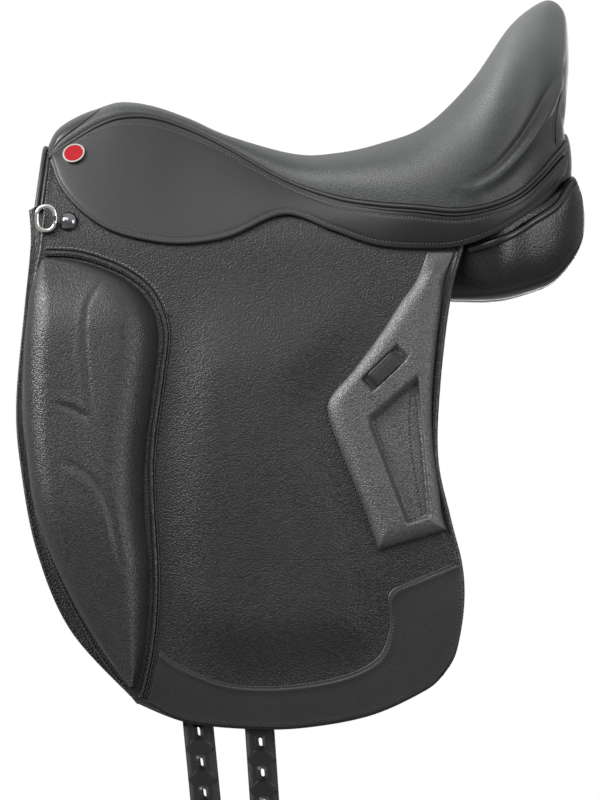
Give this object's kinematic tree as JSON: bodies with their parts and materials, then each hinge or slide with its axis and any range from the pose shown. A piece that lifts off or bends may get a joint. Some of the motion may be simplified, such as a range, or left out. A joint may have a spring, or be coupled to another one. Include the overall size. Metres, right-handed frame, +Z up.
{
  "type": "dressage saddle",
  "caption": "English dressage saddle in black leather: deep seat on a spring tree, long flaps that lift, knee and thigh blocks, stirrup bars, girth straps and flocked panels.",
  "frame": {"origin": "middle plane, at the level where the panels bear on the back, under the deepest part of the seat", "axes": "+X towards the cantle, +Y towards the right (off) side, +Z up"},
  "size_m": [0.5038, 0.3704, 0.8325],
  "materials": {
    "seat_leather": "smooth, soft sheen",
    "smooth_leather": "smooth, semi-matt",
    "grained_leather": "pebbled grain",
    "panel_leather": "soft, glossy",
    "strap_leather": "firm, semi-matt",
    "nickel": "polished",
    "dark_nickel": "polished",
    "red_enamel": "gloss enamel",
    "tree_wood": "lacquered laminate",
    "tree_steel": "satin",
    "bar_steel": "forged, polished",
    "webbing": "woven linen",
    "foam": "open foam"
  },
  "bodies": {
    "saddle": {"tree_frame": "tree_wood", "head_plate": "tree_steel", "cantle_plate": "tree_steel", "spring_steel_left": "tree_steel", "spring_steel_right": "tree_steel", "tree_rivets": "tree_steel", "stirrup_bar_left": "bar_steel", "stirrup_bar_right": "bar_steel", "catch_pins": "bar_steel", "seat_webs": "webbing", "cross_web": "webbing", "seat_foam": "foam", "seat_cover": "seat_leather", "seat_welt_left": "smooth_leather", "seat_welt_right": "smooth_leather", "skirt_left": "smooth_leather", "skirt_right": "smooth_leather", "cantle_facing": "smooth_leather", "pommel_facing": "smooth_leather", "flap_top_left": "grained_leather", "flap_top_right": "grained_leather", "sweat_flap_left": "grained_leather", "sweat_flap_right": "grained_leather", "panel_left": "panel_leather", "panel_right": "panel_leather", "panel_welt_left": "smooth_leather", "panel_welt_right": "smooth_leather", "gullet_lining": "panel_leather", "point_pocket_left": "grained_leather", "point_pocket_right": "grained_leather", "strap_webs": "webbing", "dee_stud_left": "dark_nickel", "dee_stud_right": "dark_nickel", "badge_rim": "nickel", "badge_disc": "red_enamel"},
    "flap_left": {"flap_left": "grained_leather", "knee_block_left": "grained_leather", "knee_welt_left": "smooth_leather", "thigh_block_left": "grained_leather", "keeper_left": "smooth_leather", "flap_band_left": "smooth_leather"},
    "skirt_lobe_left": {"skirt_lobe_left": "smooth_leather"},
    "stirrup_catch_left": {"stirrup_catch_left": "bar_steel"},
    "dee_left": {"dee_left": "nickel"},
    "girth_strap_front_left": {"girth_strap_front_left": "strap_leather"},
    "girth_strap_rear_left": {"girth_strap_rear_left": "strap_leather"},
    "flap_right": {"flap_right": "grained_leather", "knee_block_right": "grained_leather", "knee_welt_right": "smooth_leather", "thigh_block_right": "grained_leather", "keeper_right": "smooth_leather", "flap_band_right": "smooth_leather"},
    "skirt_lobe_right": {"skirt_lobe_right": "smooth_leather"},
    "stirrup_catch_right": {"stirrup_catch_right": "bar_steel"},
    "dee_right": {"dee_right": "nickel"},
    "girth_strap_front_right": {"girth_strap_front_right": "strap_leather"},
    "girth_strap_rear_right": {"girth_strap_rear_right": "strap_leather"}
  },
  "joints": [
    {"name": "flap_left_lift", "type": "hinge", "parent": "saddle", "child": "flap_left", "pos_m": [-0.052, -0.11263, 0.0443], "axis": [-0.9965, 0.0839, 0], "range_deg": [0, 65]},
    {"name": "skirt_left_lift", "type": "hinge", "parent": "saddle", "child": "skirt_lobe_left", "pos_m": [-0.1215, -0.09625, 0.08695], "axis": [-0.9816, 0.1484, 0.1201], "range_deg": [0, 70]},
    {"name": "catch_left_turn", "type": "hinge", "parent": "saddle", "child": "stirrup_catch_left", "pos_m": [-0.073, -0.09, 0.07], "axis": [0, -1, 0], "range_deg": [0, 80]},
    {"name": "dee_left_swing", "type": "hinge", "parent": "saddle", "child": "dee_left", "pos_m": [-0.226, -0.09585, 0.071], "axis": [0, 0, 1], "range_deg": [0, 100]},
    {"name": "strap_front_left_swing", "type": "hinge", "parent": "saddle", "child": "girth_strap_front_left", "pos_m": [-0.13875, -0.10173, 0.02], "axis": [0.0823, 0.9773, -0.1955], "range_deg": [-1.5, 6]},
    {"name": "strap_rear_left_swing", "type": "hinge", "parent": "saddle", "child": "girth_strap_rear_left", "pos_m": [-0.07243, -0.10731, 0.02], "axis": [0.0823, 0.9773, -0.1955], "range_deg": [-6, 1.5]},
    {"name": "flap_right_lift", "type": "hinge", "parent": "saddle", "child": "flap_right", "pos_m": [-0.052, 0.11263, 0.0443], "axis": [0.9965, 0.0839, 0], "range_deg": [0, 65]},
    {"name": "skirt_right_lift", "type": "hinge", "parent": "saddle", "child": "skirt_lobe_right", "pos_m": [-0.1215, 0.09625, 0.08695], "axis": [0.9816, 0.1484, -0.1201], "range_deg": [0, 70]},
    {"name": "catch_right_turn", "type": "hinge", "parent": "saddle", "child": "stirrup_catch_right", "pos_m": [-0.073, 0.09, 0.07], "axis": [0, -1, 0], "range_deg": [0, 80]},
    {"name": "dee_right_swing", "type": "hinge", "parent": "saddle", "child": "dee_right", "pos_m": [-0.226, 0.09585, 0.071], "axis": [0, 0, -1], "range_deg": [0, 100]},
    {"name": "strap_front_right_swing", "type": "hinge", "parent": "saddle", "child": "girth_strap_front_right", "pos_m": [-0.13875, 0.10173, 0.02], "axis": [-0.0823, 0.9773, 0.1955], "range_deg": [-1.5, 6]},
    {"name": "strap_rear_right_swing", "type": "hinge", "parent": "saddle", "child": "girth_strap_rear_right", "pos_m": [-0.07243, 0.10731, 0.02], "axis": [-0.0823, 0.9773, 0.1955], "range_deg": [-6, 1.5]}
  ]
}
